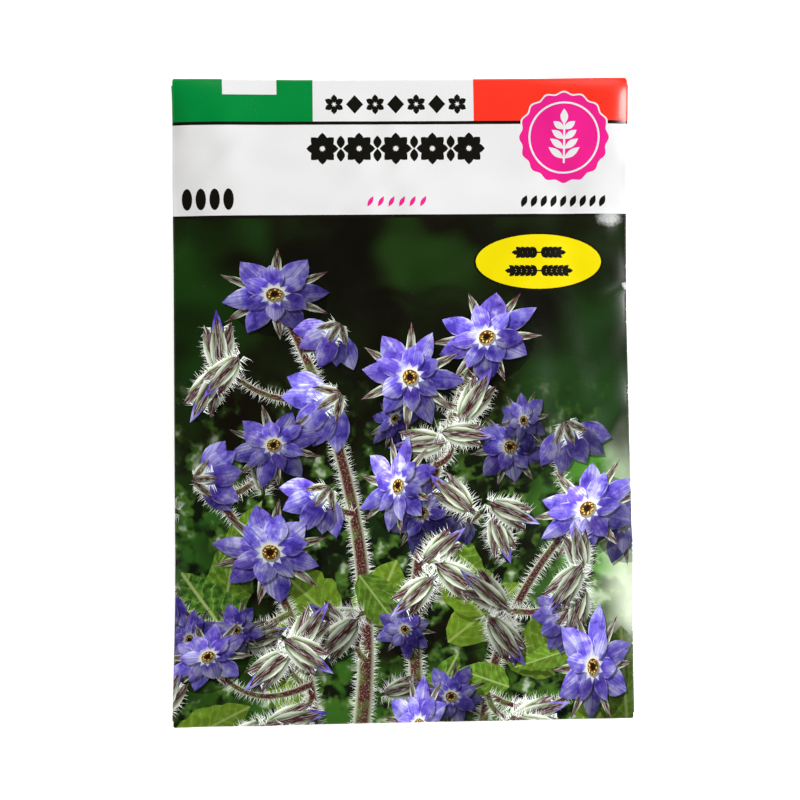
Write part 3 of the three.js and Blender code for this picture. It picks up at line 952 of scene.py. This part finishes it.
def paint_stem(blank, motif):
    return washed(
        (78, 32, 34),
        (between(noise(blank, 0.3, 3.0), 0.48, 0.74), (98, 122, 60)),
        (between(noise(blank, 3.0), 0.5, 0.7, 0.0, 0.5), (180, 176, 150)),
        (between(abs(parts(motif)[1]), 0.5, 1.0, 0.0, 0.75), (206, 214, 186)),
    )


def paint_sepal(blank, motif):
    """A dark red midrib between pale green sides, frosted with short hairs."""
    across = abs(parts(motif)[1])
    frost = noise(vector("MULTIPLY", motif, (5.0, 9.0, 40.0)), 1.0, 3.0, 0.6)
    return washed(
        (70, 26, 36),
        (between(across, 0.25, 0.6), (110, 138, 76)),
        (between(across, 0.45, 0.9, 0.0, 0.9), (242, 246, 236)),
        (between(frost, 0.46, 0.7, 0.0, 0.6), (240, 243, 236)),
    )


def paint_leaf(blank, motif):
    """Green, with a pale midrib and side veins, and quilted between them."""
    along, aside, tone = parts(motif)
    across = abs(aside)
    slanted = along * 8.0 - across * 2.0 + noise(blank, 0.25) * 2.5
    from_vein = abs(calc("FRACT", slanted) - 0.5)
    return washed(
        (30, 66, 20),
        (between(noise(blank, 0.8, 3.0), 0.35, 0.65), (92, 140, 48)),
        (between(from_vein, 0.05, 0.5, 0.0, 0.5), (34, 72, 22)),
        (between(from_vein, 0.0, 0.06, 0.5, 0.0), (160, 186, 110)),
        (between(across, 0.02, 0.08, 0.7, 0.0), (176, 192, 126)),
        (tone * 0.45, (140, 170, 40)),
    )


def paint_hair(blank, motif):
    return mixed(parts(motif), (224, 232, 222), (255, 255, 253))


PAPER_WHITE = (232, 233, 234)
PAINTS = {
    "bare_paper": PAPER_WHITE,
    "green": (0, 134, 58),
    "red": (250, 54, 36),
    "black": (18, 16, 10),
    "pink": (236, 34, 142),
    "yellow": (240, 222, 4),
    "garden": paint_garden,
    "petal": paint_petal,
    "throat": paint_throat,
    "boss": paint_boss,
    "stem": paint_stem,
    "sepal": paint_sepal,
    "leaf": paint_leaf,
    "hair": paint_hair,
}
INKS = list(PAINTS)


def ink_material(name, paint):
    """A printed area. paint builds its colour from the print's attributes, or is a plain ink's colour."""
    material, tree = new_material(name)
    blank, motif = (put(tree, "Attribute", attribute_name=label)["Vector"] for label in ("blank", "motif"))
    if callable(paint):
        paint = dimmed(paint(blank, motif), put(tree, "Attribute", attribute_name="light")["Fac"])
    coat = put(tree, "Group", {"Blank": blank, "Grain": 0.5}, node_tree=varnish)
    # Paper white shows where the ink is worn off, and where a painted highlight of glare lies beside the
    # right fold.
    wear_and_glare = put(tree, "Group", {"Blank": blank}, node_tree=lost_ink_and_glare)
    colour = mixed(wear_and_glare, dimmed(paint, coat["Tint"]), PAPER_WHITE)
    finish(tree, colour, coat["Roughness"], coat["Height"], strength=0.2, relief=0.02)
    return material

# ---- The envelope ----
# The sheet as it lies folded and filled: its printed face, its bare inner face 0.12 mm behind it, and the
# cut edge round them, closed into one body.


def drop_hidden(step=0.2):
    """Leaves out the areas that later ones cover altogether, as far as squares this wide can tell."""
    covered = np.zeros([round(2 * half / step) for half in PAGE], bool)
    kept = []
    for area in reversed(printed):
        points = area["points"]
        places = np.concatenate([points, (points + np.roll(points, -1, axis=0)) / 2, [points.mean(axis=0)]])
        cells = np.floor((places + PAGE) / step).astype(int)
        in_picture = ((cells >= 0) & (cells < covered.shape)).all(axis=1)
        if in_picture.all() and covered[tuple(cells.T)].all():
            continue
        kept.append(area)
        if area["ink"] in (None, "hair") or not in_picture.all():
            continue
        low, high = cells[: len(points)].min(axis=0), cells[: len(points)].max(axis=0) + 1
        grid = np.stack(np.meshgrid(*(np.arange(a, b) for a, b in zip(low, high)), indexing="ij"), -1)
        centres = (grid.reshape(-1, 2) + 0.5) * step - PAGE
        covered[low[0] : high[0], low[1] : high[1]] |= inside(centres, points, 0.0).reshape(grid.shape[:2])
    printed[:] = kept[::-1]


def painted(places):
    """For each place on the blank, the number of the area that shows there, and the light that the shadows
    over that area let through."""
    shown, through = np.full(len(places), -1), np.ones(len(places))
    order = np.argsort(places[:, 0])
    columns = places[order, 0]
    for number, area in enumerate(printed):
        low, high = area["points"].min(axis=0), area["points"].max(axis=0)
        near = order[np.searchsorted(columns, low[0]) : np.searchsorted(columns, high[0])]
        near = near[(places[near, 1] > low[1]) & (places[near, 1] < high[1])]
        near = near[inside(places[near], area["points"], 0.0)]
        if area["ink"]:
            shown[near], through[near] = number, 1.0
        else:
            through[near] *= area["light"]
    return shown, through


def sides_of(triangles):
    return np.concatenate([triangles[:, ends] for ends in ([0, 1], [1, 2], [2, 0])])


def visible_edges(triangles, shown, through):
    """The edges between triangles that look different."""
    edges = np.sort(sides_of(triangles), axis=1)
    owner = np.tile(np.arange(len(triangles)), 3)
    order = np.lexsort((edges[:, 1], edges[:, 0]))
    edges, owner = edges[order], owner[order]
    paired = np.nonzero((edges[1:] == edges[:-1]).all(axis=1))[0]
    one, other = owner[paired], owner[paired + 1]
    return edges[paired[(shown[one] != shown[other]) | (np.abs(through[one] - through[other]) > 0.01)]]


def straightened(flat, edges, slack=0.008, longest=PRINT_STEP):
    """Leaves out the points that lie within slack of a straight run of edges."""
    beside = {}
    for a, b in edges.tolist():
        beside.setdefault(a, set()).add(b)
        beside.setdefault(b, set()).add(a)
    for point in list(beside):
        if len(beside[point]) != 2:
            continue
        a, b = beside[point]
        run = flat[b] - flat[a]
        length = math.hypot(*run)
        off = abs(run[0] * (flat[point][1] - flat[a][1]) - run[1] * (flat[point][0] - flat[a][0]))
        if b not in beside[a] and length < longest and off < slack * length:
            del beside[point]
            beside[a].symmetric_difference_update((point, b))
            beside[b].symmetric_difference_update((point, a))
    return [(tuple(flat[a]), tuple(flat[b])) for a, ends in beside.items() for b in ends if a < b]


def print_on_sheet():
    """The printed face as triangles of the flat blank, each with the number of the area that shows there
    and the light that the shadows above it let through."""
    drop_hidden()
    outline = blank_outline()
    flat, triangles, _, _ = triangulated([area["points"] for area in printed], [], [])
    shown, through = painted(flat[triangles].mean(axis=1))
    kept = straightened(flat, visible_edges(triangles, shown, through))
    grid, scores = lattice(outline, front_lines=(34, 46), back_lines=(20, 40), strip_step=2.4)
    flat, triangles, covers, _ = triangulated([outline], grid, scores + kept)
    triangles = triangles[[0 in cover for cover in covers]]
    return flat, triangles, *painted(flat[triangles].mean(axis=1))


def rim_of(triangles):
    """The points along the open edge of the triangles, in order, counter-clockwise."""
    both = {(a, b) for a, b in sides_of(triangles).tolist()}
    following = {a: b for a, b in both if (b, a) not in both}
    start = next(iter(following))
    loop = [start]
    while following[loop[-1]] != start:
        loop.append(following[loop[-1]])
    assert len(loop) == len(following)
    return loop


def only_used(points, triangles, rim):
    """Leaves out the points that no triangle uses, and numbers the rest anew."""
    used = np.unique(triangles)
    renumber = np.full(len(points), -1)
    renumber[used] = np.arange(len(used))
    return points[used], renumber[triangles], renumber[rim]


def inner_face(rim):
    """The back of the sheet: plain triangles inside the same rim, and which points lie on it, in order."""
    grid, scores = lattice(rim, front_lines=(22, 30), back_lines=(14, 30), strip_step=3.5)
    flat, triangles, covers, came_from = triangulated([rim], grid, scores)
    at_rim = {source: place for place, sources in enumerate(came_from) for source in sources}
    return only_used(flat, triangles[[0 in cover for cover in covers]], [at_rim[k] for k in range(len(rim))])


def attach(mesh, name, kind, domain, values):
    key = "vector" if kind == "FLOAT_VECTOR" else "value"
    mesh.attributes.new(name, kind, domain).data.foreach_set(key, np.ravel(values))


DEEPEST_SHADE = 0.05  # the least light that any area is printed in
MAP_MARGIN = 1  # how far the front's part of the bake's map reaches past the folds
MAP_SPAN = 2 * TOP_FOLD + 3  # and how much of the sheet would fill the map's side
STRIP_FROM = (-52, -175)  # the place on the blank that the strip beside the front starts at
STRIP_PLACE = (0.745, 0.01)  # and where on the map that place lies
STRIP_SCALE = (0.24 / 110, 0.24 / 110 * 0.78)  # of the map's side to a millimetre, across and up the sheet
STRIP_RISE = 0.52  # how far over the outer face the inner one lies


def bake_map(mesh, flat, faces, printed_count):
    """The front fills most of the bake's map. The rest of the sheet stands in a strip beside it, with the
    inner face over the outer one."""
    across, up = flat[faces].mean(axis=1).T
    in_strip = (np.abs(across) >= SIDE_FOLD + 0.9) | (up <= -BOTTOM_FOLD - 0.9) | (up >= TOP_FOLD + 1.2)
    in_strip[printed_count:] = True
    front = (flat + (SIDE_FOLD + MAP_MARGIN, BOTTOM_FOLD + MAP_MARGIN)) / MAP_SPAN
    strip = ((flat - STRIP_FROM) * STRIP_SCALE + STRIP_PLACE)[faces]
    strip[printed_count:, :, 1] += STRIP_RISE
    places = np.where(in_strip[:, None, None], strip, front[faces])
    mesh.uv_layers.new(name="OFBake").uv.foreach_set("vector", places.ravel())


def envelope_mesh():
    flat, triangles, shown, through = print_on_sheet()
    outer, triangles, rim = only_used(flat, triangles, rim_of(triangles))
    inner, inner_triangles, inner_rim = inner_face(outer[rim])
    assert inner_rim.min() >= 0

    points, facings = [], []
    for places, side in ((outer, 1), (inner, -1)):
        facing = sheet_normal(*places.T)
        points.append(folded_point(*places.T) + side * PAPER / 2 * facing)
        facings.append(side * facing)
    points, facings = np.concatenate(points), np.concatenate(facings)
    behind = inner_rim + len(outer)
    after, behind_after = np.roll(rim, -1), np.roll(behind, -1)
    faces = np.concatenate([
        triangles,
        inner_triangles[:, ::-1] + len(outer),
        np.stack([rim, behind, behind_after], axis=1),
        np.stack([rim, behind_after, after], axis=1),
    ])
    mesh = bpy.data.meshes.new("envelope_sheet")
    mesh.from_pydata((points * MM).tolist(), [], faces.tolist())

    plain = INKS.index("bare_paper")
    slots = np.full(len(faces), plain)
    slots[: len(triangles)] = [INKS.index(printed[k]["ink"]) if k >= 0 else plain for k in shown]
    mesh.polygons.foreach_set("material_index", slots)
    mesh.polygons.foreach_set("use_smooth", np.ones(len(faces), bool))
    flat = np.concatenate([outer, inner])
    attach(mesh, "blank", "FLOAT_VECTOR", "POINT", np.column_stack([flat, np.zeros(len(flat))]))

    # Each corner of a printed triangle learns where it lies in its own area, and how brightly that is lit.
    def of_area(name, bare):
        return np.array([printed[k][name] if k >= 0 else bare for k in shown])

    local = outer[triangles] - of_area("origin", (0, 0))[:, None]
    local = np.einsum("nki,nij->nkj", local, np.linalg.inv(of_area("axes", np.eye(2))))
    lit = (of_area("light", 1) * through)[:, None] * (1 + of_area("lean", 0)[:, None] * local[:, :, 1])
    motifs, lights = np.zeros((len(faces), 3, 3)), np.ones((len(faces), 3))
    motifs[: len(triangles), :, :2] = local
    motifs[: len(triangles), :, 2] = of_area("tone", 0)[:, None]
    lights[: len(triangles)] = np.maximum(lit, DEEPEST_SHADE)
    attach(mesh, "motif", "FLOAT_VECTOR", "CORNER", motifs)
    attach(mesh, "light", "FLOAT", "CORNER", lights)
    bake_map(mesh, flat, faces, len(triangles))

    # The two faces are shaded as they bend, and the cut edge between them as flat.
    both_faces = len(triangles) + len(inner_triangles)
    edge = points[faces[both_faces:]]
    edge_facing = np.cross(edge[:, 1] - edge[:, 0], edge[:, 2] - edge[:, 0])
    edge_facing /= np.maximum(np.linalg.norm(edge_facing, axis=1, keepdims=True), 1e-12)
    normals = np.concatenate([facings[faces[:both_faces]], np.repeat(edge_facing[:, None], 3, axis=1)])
    mesh.normals_split_custom_set(normals.reshape(-1, 3).tolist())
    return mesh


def placed(name, data):
    """Puts a piece, a lamp or a camera in the scene."""
    item = bpy.data.objects.new(name, data)
    bpy.context.scene.collection.objects.link(item)
    return item


envelope = placed("envelope_sheet", envelope_mesh())
for name, paint in PAINTS.items():
    envelope.data.materials.append(ink_material("ink_" + name if name != "bare_paper" else name, paint))
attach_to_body(envelope, "root")
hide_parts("envelope")

# ---- The glue ----
# Three lines of dried adhesive between the layers: two hold the back panel to the side flaps, and one the
# closing flap to the back panel. Rolled on thin, it dries to an uneven amber film.


def glue_material():
    material, tree = new_material("glue_film")
    place = put(tree, "TexCoord")["Object"]
    film = noise(vector("MULTIPLY", place, (900.0, 90.0, 900.0)), 1.0, 3.0)
    colour = mixed(between(film, 0.3, 0.7), (222, 204, 150), (238, 228, 196))
    finish(tree, colour, between(film, 0.2, 0.8, 0.35, 0.6), film, strength=0.4, relief=0.03)
    return material


glue = glue_material()
for name in ("side_seam_glue_left", "side_seam_glue_right", "closing_flap_glue"):
    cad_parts[name].data.materials.clear()
    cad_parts[name].data.materials.append(glue)

# ---- The seeds ----
# Loose nutlets in the bottom of the pocket, dark brown to black: keeled, finely wrinkled and pointed at one
# end, with a raised pale collar round the hollow base where each sat in its flower.

SEED_LENGTH, SEED_WIDTH, SEED_THICKNESS = 5.1, 3.05, 2.6
SEED_SIDES = 14
SEED_PROFILE = (  # from the hollow base to the tip: along in lengths, and out in widths
    (-0.4, 0.0), (-0.43, 0.16), (-0.49, 0.22), (-0.495, 0.28), (-0.44, 0.33), (-0.38, 0.34), (-0.26, 0.44),
    (-0.04, 0.495), (0.12, 0.46), (0.25, 0.385), (0.36, 0.27), (0.44, 0.13), (0.49, 0.0),
)
COLLAR_END = 5  # the collar is the profile's part before this point
KEEL = 0.07
WRINKLES = 0.05


def nutlet_mesh():
    corners, faces = [], []
    for row, (along, out) in enumerate(SEED_PROFILE):
        sides = SEED_SIDES if out else 1
        for k in range(sides):
            turn = math.tau * k / sides
            keel = 1 - KEEL * math.sin(turn) ** 2 * (row >= COLLAR_END)
            wrinkle = 1 - WRINKLES * abs(math.sin(3.5 * turn + 7 * along)) * (row >= COLLAR_END)
            reach = out * keel * wrinkle
            corners.append((MM * SEED_LENGTH * along, MM * SEED_WIDTH * reach * math.cos(turn),
                            MM * SEED_THICKNESS * reach * math.sin(turn)))
    last = len(corners) - 1
    rings = len(SEED_PROFILE) - 2
    for k in range(SEED_SIDES):
        after = (k + 1) % SEED_SIDES
        faces.append((0, 1 + after, 1 + k))
        for row in range(rings - 1):
            near, far = 1 + row * SEED_SIDES, 1 + (row + 1) * SEED_SIDES
            faces.append((near + k, near + after, far + after, far + k))
        far = 1 + (rings - 1) * SEED_SIDES
        faces.append((far + k, far + after, last))
    mesh = bpy.data.meshes.new("nutlet")
    mesh.from_pydata(corners, [], faces)
    mesh.polygons.foreach_set("use_smooth", np.ones(len(faces), bool))
    return mesh


def seed_lie(node):
    """The middle of a seed's solid, and the way its tip points: the base has more corners than the tip."""
    corners = np.unique([node.matrix_world @ corner.co for corner in node.data.vertices], axis=0)
    middle = corners.mean(axis=0)
    axis = np.linalg.svd(corners - middle)[2][0]
    along = (corners - middle) @ axis
    halfway = (along.max() + along.min()) / 2
    return middle + halfway * axis, math.atan2(*(axis * math.copysign(1, halfway))[1::-1])


def seed_material():
    material, tree = new_material("nutlet_coat")
    place = put(tree, "TexCoord")["Object"]
    wrinkles = put(tree, "TexVoronoi", {"Vector": place, "Scale": 2600.0}, feature="DISTANCE_TO_EDGE")
    patches = noise(place, 500.0, 3.0)
    colour = washed(
        (30, 22, 17),
        (between(patches, 0.35, 0.7), (74, 54, 38)),
        (between(wrinkles, 0.0, 0.12, 0.6, 0.0), (112, 92, 70)),
        (put(tree, "Attribute", attribute_name="collar")["Fac"], (176, 158, 128)),
    )
    finish(tree, colour, between(patches, 0.3, 0.7, 0.55, 0.75), wrinkles, strength=0.6, relief=0.1)
    return material


def seeds_group():
    """Lays one nutlet at each place, tip along its own heading, and rolls it a little."""
    inputs = {"Places": "Geometry", "Nutlet": "Object", "Roll": "Float", "Draw": "Int", "Coat": "Material"}
    tree, given = new_group("loose_seeds", inputs, {"Seeds": "Geometry"}, "GeometryNodeTree")
    heading = put(tree, "GeometryNodeInputNamedAttribute", {"Name": "heading"}, data_type="FLOAT")
    limits = {2: given["Roll"] * -1.0, 3: given["Roll"], "Seed": given["Draw"]}
    rolled = put(tree, "FunctionNodeRandomValue", limits, data_type="FLOAT")[1]
    turn = put(tree, "CombineXYZ", {"X": rolled, "Z": heading})
    turn = put(tree, "FunctionNodeEulerToRotation", {0: turn})
    shape = put(tree, "GeometryNodeObjectInfo", {"Object": given["Nutlet"]})["Geometry"]
    laid = {"Points": given["Places"], "Instance": shape, "Rotation": turn}
    whole = put(tree, "GeometryNodeRealizeInstances",
                {"Geometry": put(tree, "GeometryNodeInstanceOnPoints", laid)})
    coated = put(tree, "GeometryNodeSetMaterial", {"Geometry": whole, "Material": given["Coat"]})
    put(tree, "NodeGroupOutput", {"Seeds": coated})
    return tree


seed_names = sorted(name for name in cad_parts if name.startswith("seed_"))
lies = [seed_lie(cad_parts[name]) for name in seed_names]
places = bpy.data.meshes.new("seeds")
places.from_pydata([tuple(middle) for middle, _ in lies], [], [])
attach(places, "heading", "FLOAT", "POINT", [heading for _, heading in lies])
nutlet = bpy.data.objects.new("nutlet", nutlet_mesh())
seed_coat = seed_material()
nutlet.data.materials.append(seed_coat)
is_collar = np.arange(len(nutlet.data.vertices)) <= COLLAR_END * SEED_SIDES
attach(nutlet.data, "collar", "FLOAT", "POINT", is_collar.astype(float))
seeds = placed("seeds", places)
laying = seeds.modifiers.new("loose_seeds", "NODES")
laying.node_group = seeds_group()
socket = {item.name: item.identifier for item in laying.node_group.interface.items_tree}
laying[socket["Nutlet"]] = nutlet
laying[socket["Roll"]] = 0.2
laying[socket["Draw"]] = 4
laying[socket["Coat"]] = seed_coat
laid_out = bpy.data.meshes.new_from_object(seeds.evaluated_get(bpy.context.evaluated_depsgraph_get()))
seeds.modifiers.remove(laying)
seeds.data = laid_out
bpy.data.objects.remove(nutlet)
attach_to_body(seeds, "root")
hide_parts(*seed_names)

# ---- The floor, the lights and the camera ----
# A plain white table in a room with a window at its right. The walls light it from all round, least and
# warmest from the left. The ceiling is dark, so the dark inks stay dark.

FLOOR_HALF = 6
floor_corners = [(FLOOR_HALF * x, FLOOR_HALF * y, 0) for x, y in block(-1, -1, 1, 1)]
floor_mesh = bpy.data.meshes.new("floor")
floor_mesh.from_pydata(floor_corners, [], [(0, 1, 2, 3)])
floor = placed("floor", floor_mesh)
floor_white = bpy.data.materials.new("floor_white")
floor_white.use_nodes = True
floor_shader = floor_white.node_tree.nodes["Principled BSDF"].inputs
floor_shader["Base Color"].default_value = (0.9, 0.9, 0.9, 1)
floor_shader["Specular IOR Level"].default_value = 0
floor_shader["Emission Color"].default_value = (1, 1, 1, 1)
floor_shader["Emission Strength"].default_value = 0.72
floor_mesh.materials.append(floor_white)

WALL_LIGHT = 2.18
RIGHT_WALL_MORE = 0.34  # how much stronger the right wall is than the middle, and the left wall weaker
CEILING = (-0.12, 0, 0.67, 0.74)  # its dark part, as seen from the table: x, y, half width, half length
CEILING_LIGHT = 0.03
world = bpy.data.worlds.new("room")
world.use_nodes = True
room = world.node_tree
room.nodes.clear()
way = put(room, "TexCoord")["Generated"]
level_way = vector("MULTIPLY", way, (1, 1, 0))
toward_right = parts(vector("NORMALIZE", level_way))
walls = (toward_right * RIGHT_WALL_MORE + WALL_LIGHT) * between(parts(way)[2], 0.1, 0.5, 0.3, 1.0)
strength = walls * between(far_from(level_way, *CEILING), 0.8, 1.5) + CEILING_LIGHT
tint = mixed(between(toward_right, -1, 0.3), (1.0, 0.92, 0.82, 1), (1, 1, 1, 1))
glow = put(room, "Background", {"Color": tint, "Strength": strength})
put(room, "OutputWorld", {"Surface": glow})
bpy.context.scene.world = world

WINDOW_TILT = math.radians(56)  # from straight above
window_light = bpy.data.lights.new("window", "AREA")
window_light.shape = "RECTANGLE"
window_light.size, window_light.size_y = 0.6, 0.42
window_light.energy = 11
window = placed("window", window_light)
window_way = Vector((math.sin(WINDOW_TILT), 0.22, math.cos(WINDOW_TILT))).normalized()
window.location = 1.2 * window_way
window.rotation_euler = window_way.to_track_quat("Z", "Y").to_euler()
bpy.context.scene.view_settings.view_transform = "Standard"
bpy.context.scene.view_settings.look = "None"

CAMERA_PLACE = (-21.8, -9.2, 400.0)  # in millimetres
CAMERA_TURN = (1.323, -3.051, -0.377)  # in degrees
camera_data = bpy.data.cameras.new("camera")
camera_data.lens = 99.95
camera_data.sensor_width = 36
camera = placed("camera", camera_data)
camera.location = [MM * value for value in CAMERA_PLACE]
camera.rotation_euler = [math.radians(value) for value in CAMERA_TURN]
bpy.context.scene.camera = camera
